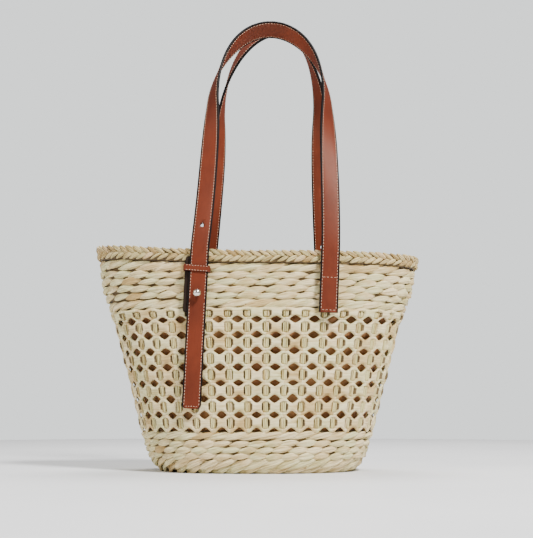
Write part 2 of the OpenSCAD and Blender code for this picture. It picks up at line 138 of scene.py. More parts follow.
def runs(z):
    """The share of the way round the straight-sided oval at height z, at each of ANGLES, and its girth."""
    a = straight(np.array([z]), tops, length_knots)[0]
    b = straight(np.array([z]), depth_levels, depth_knots)[0]
    x, y, _, _ = oval(a, b, ANGLES)
    steps = np.hypot(np.diff(x), np.diff(y))
    total = np.concatenate([[0], np.cumsum(steps)])
    return total / total[-1], total[-1]


RIM_RUNS, RIM_GIRTH = runs(RIM)
FOOT_RUNS, FOOT_GIRTH = runs(0.0)


def matched(*values):
    """The values as arrays of numbers, all of one shape."""
    return np.broadcast_arrays(*(np.asarray(value, float) for value in values))


def wall(u, z, out=0.0):
    """Points of the wall: share u of the way round from the right end, height z, moved outward by out."""
    u, z, out = matched(u, z, out)
    a, b = half_spans(z)
    share = np.clip(z / RIM, 0, 1)
    turned = u - np.floor(u)
    angle = share * np.interp(turned, RIM_RUNS, ANGLES) + (1 - share) * np.interp(turned, FOOT_RUNS, ANGLES)
    x, y, nx, ny = oval(a, b, angle)
    left = np.clip(-x / a, 0, 1) ** 2
    lift = RISE * left * np.clip((z - LATTICE_TOP) / (RIM - LATTICE_TOP), 0, None)
    return np.stack([x + out * nx, y + out * ny, z + lift], -1)


def girth(z):
    """The length round the wall at height z."""
    return FOOT_GIRTH + (RIM_GIRTH - FOOT_GIRTH) * z / RIM


# -------- mesh building


def unit(vectors):
    return vectors / np.maximum(np.linalg.norm(vectors, axis=-1, keepdims=True), 1e-12)


def full_turn(count):
    """Angles evenly spaced round a full turn."""
    return np.linspace(0, 2 * math.pi, count, endpoint=False)


def eased(share):
    """A share from 0 to 1, with a soft start and a soft end."""
    return share * share * (3 - 2 * share)


def swelling(s, end, power):
    """How full a strand is at each share s of its length: 1 in the middle and thin at both ends."""
    return np.sin(math.pi * np.clip(s, end, 1 - end)) ** power


def run_along(centre):
    """The distance along a line of points, from its first point."""
    return np.concatenate([[0], np.cumsum(np.linalg.norm(np.diff(centre, axis=0), axis=1))])


class Weave:
    """Gathers grids of points into one mesh. Each point keeps its place along and across its strand."""

    def __init__(self):
        self.points, self.faces, self.fibres, self.paint, self.caps = [], [], [], [], []
        self.count = 0

    def grid(self, points, along, across, strand, ring=False, tube=True, caps=True, paint=0):
        """points is (stations, section, 3). ring joins the last station to the first, tube closes the
        section, and paint is the material slot, for all faces or for each."""
        n, m = points.shape[:2]
        index = np.arange(n * m).reshape(n, m) + self.count
        rows = np.arange(n if ring else n - 1)
        columns = np.arange(m if tube else m - 1)
        i, j = np.meshgrid(rows, columns, indexing="ij")
        i2, j2 = (i + 1) % n, (j + 1) % m
        quads = np.stack([index[i, j], index[i, j2], index[i2, j2], index[i2, j]], -1).reshape(-1, 4)
        self.faces += quads.tolist()
        painted = np.broadcast_to(np.asarray(paint), (n, m))[i, j]
        self.paint += painted.reshape(-1).tolist()
        if tube and caps and not ring:
            self.caps += [len(self.faces), len(self.faces) + 1]
            self.faces += [index[0, ::-1].tolist(), index[-1].tolist()]
            self.paint += [int(np.max(painted))] * 2
        self.points.append(points.reshape(-1, 3))
        fibre = np.broadcast_to(np.stack(matched(along, across, strand), -1), (n, m, 3))
        self.fibres.append(fibre.reshape(-1, 3))
        self.count += n * m

    def piece(self, name, materials, smooth=True):
        mesh = bpy.data.meshes.new(name)
        mesh.from_pydata(np.concatenate(self.points).tolist(), [], self.faces)
        fibre = mesh.attributes.new("fibre", "FLOAT_VECTOR", "POINT")
        fibre.data.foreach_set("vector", np.concatenate(self.fibres).reshape(-1).astype(np.float32))
        for material in materials:
            mesh.materials.append(material)
        mesh.polygons.foreach_set("material_index", np.array(self.paint, np.int32))
        shading = np.full(len(mesh.polygons), smooth)
        shading[self.caps] = False
        mesh.polygons.foreach_set("use_smooth", shading)
        mesh.update()
        obj = bpy.data.objects.new(name, mesh)
        bpy.context.scene.collection.objects.link(obj)
        return obj


SECTION = 24
CREASES = 0.15


def creased_section(creases):
    """A flat oval section with creases that run along the strand: (across, outward) for each point."""
    phase = draws.uniform(0, 2 * math.pi, 3)
    turn = full_turn(SECTION)
    ripples = np.sin(5 * turn + phase[0]) + 0.8 * np.sin(8 * turn + phase[1])
    ripples += 0.6 * np.sin(11 * turn + phase[2])
    across = signed_power(np.cos(turn), 0.9)
    outward = signed_power(np.sin(turn), 0.7) * (1 + creases * ripples)
    return across, outward


def wall_frame(u, z, out):
    """The middle line of a strand on the wall, and its sideways and outward directions."""
    centre = wall(u, z, out)
    normal = unit(wall(u, z, out + MM) - centre)
    tangent = unit(np.gradient(centre, axis=0))
    return centre, unit(np.cross(normal, tangent)), normal


def strand(weave, u, z, out, half_width, half_thick, ident):
    """One husk strand along the wall: every argument from u to half_thick is an array along its length."""
    centre, side, normal = wall_frame(u, z, out)
    across, outward = creased_section(CREASES)
    wide = half_width[:, None] * across
    points = centre[:, None] + side[:, None] * wide[..., None]
    points = points + normal[:, None] * (half_thick[:, None] * outward)[..., None]
    points[..., 2] = np.maximum(points[..., 2], 0.1 * MM)
    weave.grid(points, run_along(centre)[:, None], wide, ident)


def twisted_row(low, high, span, offset, width, slant, out, thick):
    """A ring of slanted strands between the heights low and high, over a plain backing band."""
    weave = Weave()
    height = high - low
    middle = (low + high) / 2
    s = np.linspace(0, 1, 15)
    swell = swelling(s, 0.02, 0.62)
    for k in range(WARPS):
        start, rise, fat, lean = draws.normal(0, 1, 4)
        u = (k + offset + 0.05 * start + span * (s - 0.5)) / WARPS
        climb = np.clip((s - 0.5) * 1.25, -0.5, 0.5)
        z = middle + height * (slant * climb + 0.04 * rise + 0.05 * lean * np.sin(math.pi * s))
        half_width = width * height * swell * (1 + 0.08 * fat)
        half_thick = thick * (0.25 + 0.75 * swell) * (1 + 0.08 * rise)
        strand(weave, u, z, out - thick * (1 - swell) * 1.25, half_width, half_thick, k + offset)
    backing(weave, low, high, out - 1.5 * MM)
    return weave


def backing(weave, low, high, out):
    """The plain band behind the strands of a row. Its faces take the second material, painted shade that
    stands in for the shadow behind the strands.
    """
    stations = np.arange(4 * WARPS)[:, None] / (4 * WARPS)
    depth = 2.2 * MM
    lap = 0.4 * MM
    z = np.array([high + lap, high + lap, low - lap, low - lap])
    outs = np.array([out, out - depth, out - depth, out])
    points = wall(stations, z[None], outs[None])
    # paint=1 gives the band the painted shade material.
    weave.grid(points, stations * girth(low), z[None], 91.0, ring=True, paint=1)


def show(weave, name, node, materials, smooth=True):
    """Makes a piece on the basket, which stands for the CAD node where one is named."""
    obj = weave.piece(name, materials, smooth)
    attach(obj, "basket")
    if node:
        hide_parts(node)
    return obj


# -------- materials


def feed(tree, node, inputs):
    """Gives each named input of a node its value, or links it where the value is a socket."""
    for name, value in inputs.items():
        if isinstance(value, bpy.types.NodeSocket):
            tree.links.new(value, node.inputs[name])
        else:
            node.inputs[name].default_value = value
    return node


def new_material(name, constants):
    """A material with one Principled shader, whose constant values sit on its own sockets."""
    material = bpy.data.materials.new(name)
    material.use_nodes = True
    tree = material.node_tree
    feed(tree, tree.nodes["Principled BSDF"], constants)
    return material, tree


def add(tree, kind, inputs, **values):
    """Adds a node, sets its properties and feeds its inputs."""
    node = tree.nodes.new(kind)
    for key, value in values.items():
        setattr(node, key, value)
    return feed(tree, node, inputs)


def noise(tree, vector, scale, detail=3.0, distortion=0.0):
    inputs = {"Vector": vector, "Scale": scale, "Detail": detail, "Roughness": 0.55, "Distortion": distortion}
    return add(tree, "ShaderNodeTexNoise", inputs).outputs["Fac"]


def ramp(tree, value, stops):
    node = add(tree, "ShaderNodeValToRGB", {"Fac": value})
    elements = node.color_ramp.elements
    while len(elements) < len(stops):
        elements.new(0.5)
    for element, (place, colour) in zip(elements, stops):
        element.position = place
        element.color = (*colour, 1)
    return node.outputs["Color"]


def mapped(tree, value, low, high):
    inputs = {"Value": value, "To Min": low, "To Max": high}
    return add(tree, "ShaderNodeMapRange", inputs).outputs["Result"]


def blend_colours(tree, kind, factor, first, second):
    node = add(tree, "ShaderNodeMix", {}, data_type="RGBA", blend_type=kind)
    for socket, value in (("Factor_Float", factor), ("A_Color", first), ("B_Color", second)):
        target = next(s for s in node.inputs if s.identifier == socket)
        if isinstance(value, bpy.types.NodeSocket):
            tree.links.new(value, target)
        else:
            target.default_value = value
    return next(s for s in node.outputs if s.identifier == "Result_Color")


def dress(material, colour, wear, roughness, height, distance, strength):
    """Gives a material its colour, a roughness that follows wear, and bumps that follow height."""
    tree = material.node_tree
    bumps = add(tree, "ShaderNodeBump", {"Strength": strength, "Distance": distance, "Height": height})
    rough = mapped(tree, wear, *roughness)
    inputs = {"Base Color": colour, "Roughness": rough, "Normal": bumps.outputs["Normal"]}
    feed(tree, tree.nodes["Principled BSDF"], inputs)
    return material


def fibre_place(tree):
    """The place along and across a strand, and the strand's own number."""
    return add(tree, "ShaderNodeAttribute", {}, attribute_name="fibre").outputs["Vector"]


def object_place(tree):
    return add(tree, "ShaderNodeTexCoord", {}).outputs["Object"]


def waves(tree, vector, scale, distortion, direction):
    inputs = {"Vector": vector, "Scale": scale, "Distortion": distortion}
    return add(tree, "ShaderNodeTexWave", inputs, bands_direction=direction).outputs["Fac"]


def stretched(tree, source, factors, location=(0, 0, 0)):
    inputs = {"Vector": source, "Scale": factors, "Location": location}
    return add(tree, "ShaderNodeMapping", inputs).outputs["Vector"]


WHITE = (1.0, 1.0, 1.0)


def husk_material(name, tones, streak=1.0, marked=0.7):
    """Dry maize husk: fine fibres along each strand, and a tint of its own for each strand."""
    material, tree = new_material(name, {"Specular IOR Level": 0.35, "Sheen Weight": 0.08})
    fibre = fibre_place(tree)
    fine = noise(tree, stretched(tree, fibre, (60, 1500 * streak, 7.3)), 1.0, detail=4)
    broad = noise(tree, stretched(tree, fibre, (45, 160, 3.7), (3, 5, 0)), 1.0, detail=2)
    tint = noise(tree, stretched(tree, fibre, (8, 8, 11.9), (9, 1, 0)), 1.0, detail=1)
    colour = ramp(tree, tint, tones)
    streaks = ramp(tree, fine, [(0.36, (0.50, 0.40, 0.25)), (0.50, (0.92, 0.90, 0.84)), (0.64, WHITE)])
    stains = ramp(tree, broad, [(0.34, (0.72, 0.62, 0.44)), (0.54, WHITE)])
    colour = blend_colours(tree, "MULTIPLY", marked, colour, streaks)
    colour = blend_colours(tree, "MULTIPLY", 0.75, colour, stains)
    return dress(material, colour, fine, (0.74, 0.5), fine, 0.35 * MM, 0.7)


def leather_material(name, colour, dark, grain=1.0):
    """Smooth cowhide: fine grain, slow colour drift, small scuffs."""
    constants = {"Specular IOR Level": 0.34, "Specular Tint": (1.0, 0.74, 0.60, 1)}
    material, tree = new_material(name, constants)
    place = object_place(tree)
    drift = noise(tree, place, 28.0)
    scuffs = noise(tree, stretched(tree, place, (1, 1, 0.25)), 420.0, detail=4, distortion=0.6)
    inputs = {"Vector": place, "Scale": 1500.0 * grain}
    grains = add(tree, "ShaderNodeTexVoronoi", inputs, feature="SMOOTH_F1").outputs["Distance"]
    body = ramp(tree, drift, [(0.32, dark), (0.66, colour)])
    pores = ramp(tree, grains, [(0.1, WHITE), (0.75, (0.84, 0.80, 0.78))])
    marks = ramp(tree, scuffs, [(0.36, (0.88, 0.84, 0.82)), (0.6, WHITE)])
    body = blend_colours(tree, "MULTIPLY", 0.7, body, pores)
    body = blend_colours(tree, "MULTIPLY", 0.6, body, marks)
    return dress(material, body, scuffs, (0.44, 0.60), grains, 0.12 * MM, 0.35)


def paint_material():
    """The painted edge of the straps: nearly black, with small worn patches."""
    material, tree = new_material("edge_paint", {"Specular IOR Level": 0.12})
    worn = noise(tree, object_place(tree), 520.0, detail=4)
    colour = ramp(tree, worn, [(0.52, (0.004, 0.003, 0.003)), (0.80, (0.03, 0.012, 0.009))])
    return dress(material, colour, worn, (0.38, 0.6), worn, 0.08 * MM, 0.4)


def thread_material():
    """Waxed thread, with its twist."""
    material, tree = new_material("waxed_thread", {"Sheen Weight": 0.2})
    twist = waves(tree, fibre_place(tree), 900.0, 1.5, "DIAGONAL")
    colour = ramp(tree, twist, [(0.1, (0.36, 0.20, 0.12)), (0.7, (0.66, 0.45, 0.31))])
    return dress(material, colour, twist, (0.66, 0.5), twist, 0.1 * MM, 0.5)


def metal_material():
    """Pale polished metal with fine scratches."""
    material, tree = new_material("stud_metal", {"Metallic": 1.0})
    scratches = noise(tree, stretched(tree, object_place(tree), (1, 6, 1)), 900.0, detail=5)
    colour = ramp(tree, scratches, [(0.3, (0.62, 0.55, 0.48)), (0.7, (0.80, 0.75, 0.68))])
    return dress(material, colour, scratches, (0.12, 0.3), scratches, 0.02 * MM, 0.3)


def cloth_material():
    """The lining: a plain brown cloth with a visible weave."""
    material, tree = new_material("lining_cloth", {"Sheen Weight": 0.25, "Sheen Roughness": 0.5})
    fibre = fibre_place(tree)
    crossing = {k: waves(tree, fibre, 330.0, 0.6, direction) for k, direction in enumerate("XY")}
    threads = add(tree, "ShaderNodeMath", crossing, operation="MULTIPLY").outputs["Value"]
    base = ramp(tree, noise(tree, fibre, 14.0), [(0.3, (0.42, 0.17, 0.06)), (0.7, (0.68, 0.36, 0.14))])
    shade = ramp(tree, threads, [(0.0, (0.72, 0.68, 0.64)), (0.6, WHITE)])
    colour = blend_colours(tree, "MULTIPLY", 0.8, base, shade)
    return dress(material, colour, threads, (0.9, 0.78), threads, 0.25 * MM, 0.6)


# Tints of the strands, from the low end of the tint noise to its high end.
CREAM = [
    (0.36, (0.413, 0.282, 0.106)),
    (0.45, (0.619, 0.473, 0.228)),
    (0.54, (0.568, 0.481, 0.236)),
    (0.64, (0.654, 0.481, 0.266)),
]
PALE = [
    (0.36, (0.614, 0.45, 0.205)),
    (0.45, (0.818, 0.684, 0.41)),
    (0.54, (0.707, 0.657, 0.361)),
    (0.63, (0.8, 0.65, 0.385)),
]
STRAW = [
    (0.34, (0.58, 0.44, 0.21)),
    (0.46, (0.78, 0.66, 0.38)),
    (0.58, (0.72, 0.66, 0.38)),
    (0.7, (0.82, 0.66, 0.44)),
]
WARP_STRAW = [
    (0.34, (0.48, 0.36, 0.14)),
    (0.46, (0.7, 0.59, 0.28)),
    (0.58, (0.67, 0.62, 0.3)),
    (0.7, (0.76, 0.61, 0.34)),
]
# Painted shade: a dark husk colour that stands in for the shadow in the gaps behind the strands and on the
# dip walls of the openwork.
PAINTED_SHADE = [(0.36, (0.13, 0.085, 0.035)), (0.64, (0.21, 0.145, 0.065))]

braid_husk = husk_material("husk_braid", CREAM, 1.0, 0.9)
twist_husk = husk_material("husk_twist", PALE, 0.8, 0.85)
twined_husk = husk_material("husk_twined", PALE)
ribbon_husk = husk_material("husk_ribbon", PALE, 0.8, 0.5)
warp_husk = husk_material("husk_warp", WARP_STRAW, 1.6)
base_husk = husk_material("husk_base", STRAW, 0.8, 0.95)
# The painted shade material, from the dark tones above.
painted_shade_husk = husk_material("husk_painted_shade", PAINTED_SHADE)
strap_leather = leather_material("strap_leather", (0.138, 0.022, 0.0072), (0.098, 0.0145, 0.0048))
# Nearly black: painted shade for the anchor tab, which lies in the strap's shadow.
tab_leather = leather_material("tab_leather", (0.013, 0.006, 0.004), (0.007, 0.004, 0.003))
strap_back = leather_material("strap_back", (0.18, 0.033, 0.0122), (0.127, 0.0218, 0.0082))
split_leather = leather_material("backing_leather", (0.35, 0.21, 0.12), (0.24, 0.14, 0.08), 0.6)
edge_paint = paint_material()
thread = thread_material()
metal = metal_material()
cloth = cloth_material()

# -------- the camera, the light and the floor

CAMERA_PLACE = Vector((0.0096, -1.0192, 0.0592))
CAMERA_PITCH = math.radians(5.3)
LENS = 64.91
SHIFT_UP = 0.1
FLOOR_REACH = 1.25
WALL_GREY = (1.30, 1.34, 1.34)
SOFT_LIGHT = 0.30


def add_light(name, place, size, power):
    """A round soft light that faces the bag's rim."""
    light = bpy.data.lights.new(name, "AREA")
    light.shape = "DISK"
    light.size = size
    light.energy = power
    obj = bpy.data.objects.new(name, light)
    obj.location = place
    obj.rotation_euler = (Vector((0, 0, RIM)) - Vector(place)).to_track_quat("-Z", "Y").to_euler()
    bpy.context.scene.collection.objects.link(obj)


def make_camera():
    data = bpy.data.cameras.new("camera")
    data.lens = LENS
    data.shift_y = SHIFT_UP
    camera = bpy.data.objects.new("camera", data)
    camera.location = CAMERA_PLACE
    camera.rotation_euler = (math.pi / 2 + CAMERA_PITCH, 0, 0)
    bpy.context.scene.collection.objects.link(camera)
    bpy.context.scene.camera = camera


def make_light():
    """Three soft lights, and a world that lights softly but shows the camera a plain grey."""
    world = bpy.data.worlds.new("studio")
    world.use_nodes = True
    tree = world.node_tree
    soft = feed(tree, tree.nodes["Background"], {"Color": (*WHITE, 1), "Strength": SOFT_LIGHT})
    shown = add(tree, "ShaderNodeBackground", {"Color": (*WALL_GREY, 1), "Strength": 1.0})
    seen = add(tree, "ShaderNodeLightPath", {}).outputs["Is Camera Ray"]
    inputs = {0: seen, 1: soft.outputs["Background"], 2: shown.outputs["Background"]}
    chosen = add(tree, "ShaderNodeMixShader", inputs)
    feed(tree, tree.nodes["World Output"], {"Surface": chosen.outputs["Shader"]})
    bpy.context.scene.world = world
    add_light("key", (0.9, -1.2, 1.9), 0.5, 106)
    add_light("fill", (-1.5, -0.9, 0.9), 1.1, 15)
    add_light("top", (0.1, 0.6, 1.8), 0.9, 30)


def make_floor():
    sides, rings = 96, 12
    turn = full_turn(sides)
    radii = np.linspace(0.02, FLOOR_REACH, rings)[:, None]
    floor = Weave()
    points = np.stack([radii * np.cos(turn), radii * np.sin(turn), np.zeros((rings, sides))], -1)
    floor.grid(points, points[..., 0], points[..., 1], 0.0, caps=False)
    floor.faces.append(list(range(sides)))
    floor.paint.append(0)
    material, tree = new_material("pale_floor", {"Roughness": 0.55})
    drift = noise(tree, fibre_place(tree), 6.0)
    colour = ramp(tree, drift, [(0.3, (0.76, 0.76, 0.765)), (0.7, (0.80, 0.80, 0.80))])
    feed(tree, tree.nodes["Principled BSDF"], {"Base Color": colour})
    floor.piece("floor", [material])


make_camera()
make_light()
make_floor()

# -------- the woven rows

BRAID_STITCHES = 96
LEAF_WIDTH = 0.160
# How each kind of row is twisted: half width and slant as shares of the row's height, the span of a strand
# in warps, how far out its middle line is, and half of its thickness.
FAT_ROW = {"width": 0.35, "slant": 0.62, "span": 2.0, "out": -1.0 * MM, "thick": 2.3 * MM}
THIN_ROW = {"width": 0.54, "slant": 0.42, "span": 1.32, "out": -1.1 * MM, "thick": 2.1 * MM}


def make_braid():
    """A flat plait: leaves slant down to its middle line from above and up to it from below."""
    weave = Weave()
    height = RIM - BRAID_FOOT
    middle = (RIM + BRAID_FOOT) / 2
    s = np.linspace(0, 1, 13)
    swell = swelling(s, 0.03, 0.55)
    for half in (1, -1):
        for k in range(BRAID_STITCHES):
            start, fat, lean = draws.normal(0, 1, 3)
            shift = 0.0 if half > 0 else 0.5
            u = (k + shift + 0.06 * start + 1.75 * (s - 0.5)) / BRAID_STITCHES
            reach = height * (0.46 - 0.56 * s + 0.03 * lean * np.sin(math.pi * s))
            half_width = height * LEAF_WIDTH * swell * (1 + 0.14 * fat)
            half_thick = 1.35 * MM * (0.3 + 0.7 * swell)
            out = BRAID_OUT - (1.0 + 2.1 * s ** 2 + 1.4 * (1 - swell)) * MM
            strand(weave, u, middle + half * reach, out, half_width, half_thick, k + 0.3 * half)
    backing(weave, BRAID_FOOT, RIM - 1.5 * MM, BRAID_OUT - 3.6 * MM)
    show(weave, "rim_plait", "rim_braid", [braid_husk, painted_shade_husk])


def make_wrap_rows():
    levels = [
        ("upper_wrap_row_1", BRAID_FOOT, 0.15),
        ("upper_wrap_row_2", foot("upper_twined_row_4"), 0.6),
        ("lower_wrap_row", foot("lattice_row_8"), 0.35),
    ]
    for node, high, offset in levels:
        weave = twisted_row(foot(node), high, offset=offset, **FAT_ROW)
        show(weave, node.replace("wrap", "twist"), node, [twist_husk, painted_shade_husk])


def make_twined_rows():
    for band, count, above in (("upper", 4, "upper_wrap_row_1"), ("lower", 3, "lower_wrap_row")):
        high = foot(above)
        for k in range(1, count + 1):
            node = f"{band}_twined_row_{k}"
            weave = twisted_row(foot(node), high, offset=0.5 * (k % 2), **THIN_ROW)
            show(weave, f"{band}_thin_row_{k}", node, [twined_husk, painted_shade_husk])
            high = foot(node)


def make_base_row():
    """The roll at the foot: two layers of slanted strands that turn under the bag."""
    high = foot("lower_twined_row_3")
    weave = Weave()
    s = np.linspace(0, 1, 17)
    swell = swelling(s, 0.02, 0.6)
    for layer, (low_share, high_share, offset) in enumerate(((-0.15, 0.62, 0.0), (0.35, 1.06, 0.4))):
        for k in range(WARPS):
            start, rise, fat = draws.normal(0, 1, 3)
            u = (k + offset + 0.05 * start + 1.9 * (s - 0.5)) / WARPS
            z = high * (low_share + (high_share - low_share) * s) + 0.3 * MM * rise
            under = np.clip(-z, 0, None)
            z = np.maximum(z, 1.9 * MM)
            out = -0.9 * MM - 2.0 * under - 2.0 * MM * (1 - swell)
            half_width = 3.4 * MM * swell * (1 + 0.08 * fat)
            half_thick = 2.0 * MM * (0.3 + 0.7 * swell)
            strand(weave, u, z, out, half_width, half_thick, k + 7 * layer)
    stations = np.arange(4 * WARPS)[:, None] / (4 * WARPS)
    z = np.array([high - MM, high - MM, 8 * MM, 1.2 * MM, 0.3 * MM, 3 * MM])
    outs = np.array([-2.2, -4.6, -6.0, -8.0, -3.0, -2.0]) * MM
    weave.grid(wall(stations, z[None], outs[None]), stations * girth(0), z[None], 91.0, ring=True)
    show(weave, "base_twist_row", "base_wrap_row", [twist_husk, painted_shade_husk])


# -------- the openwork

PER_WARP = 22
ACROSS = 17
EDGE_LAP = 1.3 * MM
HUSK_THICK = 0.5 * MM
HOLE_HALF = 3.85 * MM
PRESSED_DEPTH = 5.0


def hole_levels():
    """The heights of the hole rows, from the top down, with the foot of the last row last."""
    return [foot(f"lattice_row_{k}") for k in range(1, LATTICE_ROWS + 1)]


def cell_noise(cell, size):
    """Smooth random values round the ring, one for each gap between warps, at the stations of cell."""
    raw = draws.normal(0, 1, WARPS)
    return (size * (raw + 0.4 * np.roll(raw, 1)))[cell]


def make_lattice():
    """The ribbons: wide pads between the warps, narrow at each warp, and pressed in where the cords lie."""
    holes = hole_levels()
    around = WARPS * PER_WARP
    phase = np.arange(around) / PER_WARP
    place = phase - np.floor(phase)
    cell = np.floor(phase).astype(int)
    from_warp = np.abs(place - np.round(place))
    closed = np.clip((0.5 - from_warp) / 0.39, 0, 1) ** 1.5
    dip = eased(np.clip((0.225 - from_warp) / 0.06, 0, 1))
    v = np.linspace(-1, 1, ACROSS)[None]
    edge = np.abs(v)
    # Painted shade: on a random 70% of the dip side walls beside the cord bundles, the faces near the middle
    # of each ribbon take the dark husk colour that stands in for the shadow there.
    side_wall = np.abs(from_warp - 0.195) < 0.034
    half_cell = np.floor(2 * phase).astype(int)
    for k in range(1, LATTICE_ROWS + 1):
        open_side = draws.random(2 * WARPS)[half_cell] < 0.7
        painted_shade_faces = ((side_wall & open_side)[:, None] & (edge < 0.48)).astype(int)
        low = holes[k - 1]
        high = LATTICE_TOP if k == 1 else holes[k - 2]
        middle = (low + high) / 2
        up_half, down_half = high - middle, middle - low
        weave = Weave()
        pad_up = up_half - (0 if k == 1 else HOLE_HALF) + cell_noise(cell, 0.35 * MM)
        pad_down = down_half - HOLE_HALF + cell_noise(cell, 0.35 * MM)
        top = pad_up + (up_half + EDGE_LAP - pad_up) * closed
        bottom = pad_down + (down_half + EDGE_LAP - pad_down) * closed
        reach = np.where(v > 0, top[:, None], bottom[:, None])
        sway = cell_noise(cell, 0.25 * MM) * (1 - closed)
        z = middle + sway[:, None] + v * reach
        centre_share = 1 - edge ** 3
        bulge = (1.2 + cell_noise(cell, 0.35))[:, None] * centre_share
        tilt = cell_noise(cell, 0.5)[:, None] * (place[:, None] - 0.5) * centre_share
        creases = 0.16 * np.sin(8 * v + 3.1 * cell[:, None]) * centre_share
        flat = 0.7 - 0.9 * np.clip(edge - 0.75, 0, 1) * 4 * (1 - closed[:, None])
        sunk = eased(np.clip((0.66 - edge) / 0.24, 0, 1))
        pressed = dip[:, None] * (PRESSED_DEPTH + bulge) * sunk
        pinch = closed[:, None] ** 2 * np.clip(edge - 0.7, 0, 1) * 2.2
        out = (flat + bulge + tilt + creases - pressed - pinch) * MM
        points = wall(phase[:, None] / WARPS, z, out)
        run = (phase / WARPS * girth(middle))[:, None]
        weave.grid(points, run, z - middle, k + 0.37 * cell[:, None], ring=True, tube=False, paint=painted_shade_faces)
        obj = show(weave, f"openwork_row_{k}", f"lattice_row_{k}", [ribbon_husk, painted_shade_husk])
        thick = obj.modifiers.new("thickness", "SOLIDIFY")
        thick.thickness = HUSK_THICK
        thick.offset = 0.0
        thick.use_even_offset = False


CORD_RADIUS = 0.8 * MM
CORDS = 3


def make_warps():
    """Bundles of thin cords that lie over the ribbons and dive under their edges at every hole level."""
    weave = Weave()
    holes = hole_levels()
    marks = [LATTICE_TOP] + holes
    bottom, top = holes[-1] - MM, LATTICE_TOP + MM
    z = np.linspace(bottom, top, 16 * LATTICE_ROWS + 1)
    nearest = np.min(np.abs(z[:, None] - np.array(marks)[None]), axis=1)
    over = eased(np.clip((nearest - 1.0 * MM) / (2.6 * MM), 0, 1))
    turn = full_turn(8)
    for warp in range(WARPS):
        for cord in range(CORDS):
            side = cord - (CORDS - 1) / 2
            wobble = 0.22 * MM * np.sin(z * 330 + draws.uniform(0, 6)) * draws.uniform(0.4, 1)
            spread = side * (1.15 + 0.5 * over) * MM + wobble
            u = warp / WARPS + spread / girth(0.1)
            out = (-2.6 + 3.3 * over - 0.25 * abs(side) + 0.2 * draws.normal()) * MM
            centre, across, normal = wall_frame(u, z, out)
            radius = CORD_RADIUS * draws.uniform(0.85, 1.12)
            ring = across[:, None] * np.cos(turn)[:, None] + normal[:, None] * np.sin(turn)[:, None] * 0.8
            weave.grid(centre[:, None] + radius * ring, z[:, None], radius * turn, warp + 0.31 * cord)
    show(weave, "warp_bundles", "warp_cords", [warp_husk])


UP = np.array([0, 0, 1.0])


def make_panel():
    """The base: rings of twisted strands on a plain plate."""
    weave = Weave()
    half = [FLOOR_HALF[0] - 6 * MM, FLOOR_HALF[1] - 6 * MM]
    ring_step = 7 * MM
    rings = int(half[1] // ring_step)
    s = np.linspace(0, 1, 11)
    swell = swelling(s, 0.03, 0.6)
    for ring in range(rings):
        a, b = half[0] - (ring + 0.5) * ring_step, half[1] - (ring + 0.5) * ring_step
        count = max(6, int(round((a + b) * 3.3 / (19 * MM))))
        for k in range(count):
            angle = 2 * math.pi * (k + 0.5 * (ring % 2) + 1.35 * (s - 0.5)) / count
            x, y, nx, ny = oval(a, b, angle)
            inward = ring_step * 0.3 * (s - 0.5)
            centre = np.stack([x - nx * inward, y - ny * inward, np.full_like(x, 2.3 * MM)], -1)
            side = unit(np.cross(UP[None], unit(np.gradient(centre, axis=0))))
            across, outward = creased_section(0.1)
            wide = (ring_step * 0.58 * swell)[:, None] * across
            thick = 1.7 * MM * (0.3 + 0.7 * swell)
            points = centre[:, None] + side[:, None] * wide[..., None]
            points = points + UP * (thick[:, None] * outward)[..., None]
            weave.grid(points, (s * 25 * MM)[:, None], wide, ring + 0.1 * k)
    turn = full_turn(72)
    shares = np.linspace(0.08, 1.0, 6)
    x, y, _, _ = oval(half[0], half[1], turn)
    for level in (2.2 * MM, 3.6 * MM):
        plate = np.stack([shares[:, None] * x, shares[:, None] * y, np.full((6, 72), level)], -1)
        weave.grid(plate, plate[..., 0], plate[..., 1], 55.0, caps=False)
    show(weave, "woven_base", "base_panel", [base_husk])


# How far out of the wall the lining hangs, and how much further out behind the openwork, in millimetres.
LINING_OUT = -9.4
OPENWORK_OUT = 2.8


def make_lining():
    """A sewn cloth bag that hangs inside the wall and sags a little."""
    weave = Weave()
    stations = 288
    u = np.arange(stations)[:, None] / stations
    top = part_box("lining")[1].z - RISE * 0.62
    floor_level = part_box("lining")[0].z
    z = np.linspace(floor_level, top, 44)[None]
    sag = 0.9 * MM * np.sin(2 * math.pi * (u * 23 + z * 9))
    sag = sag + 0.6 * MM * np.sin(2 * math.pi * (u * 41 - z * 21))
    near = np.clip((LATTICE_TOP - 20 * MM - z) / (15 * MM), 0, 1)
    loose = np.clip((z - floor_level) / (20 * MM), 0, 1) * (1 - 0.4 * near)
    out = (LINING_OUT + OPENWORK_OUT * near) * MM + sag * loose
    drop = 4 * MM * np.clip(1 - z / (30 * MM), 0, 1)
    points = wall(u, z - drop, out)
    points[..., 2] += drop
    weave.grid(points, u * girth(0.1), z, 1.0, ring=True, tube=False)
    bottom = points[:, 0]
    shares = np.linspace(1.0, 0.01, 14)
    centre = bottom.mean(axis=0)
    floor = centre + (bottom - centre)[None] * shares[:, None, None]
    ripples = np.sin(floor[..., 0] * 130) * np.sin(floor[..., 1] * 150)
    floor[..., 2] += 0.5 * MM * ripples * (1 - shares[:, None])
    weave.grid(floor, floor[..., 0], floor[..., 1], 2.0, caps=False)
    return show(weave, "cloth_lining", "lining", [cloth])


make_braid()
make_wrap_rows()
make_twined_rows()
make_base_row()
make_lattice()
make_warps()
make_panel()
lining = make_lining()

# -------- the straps

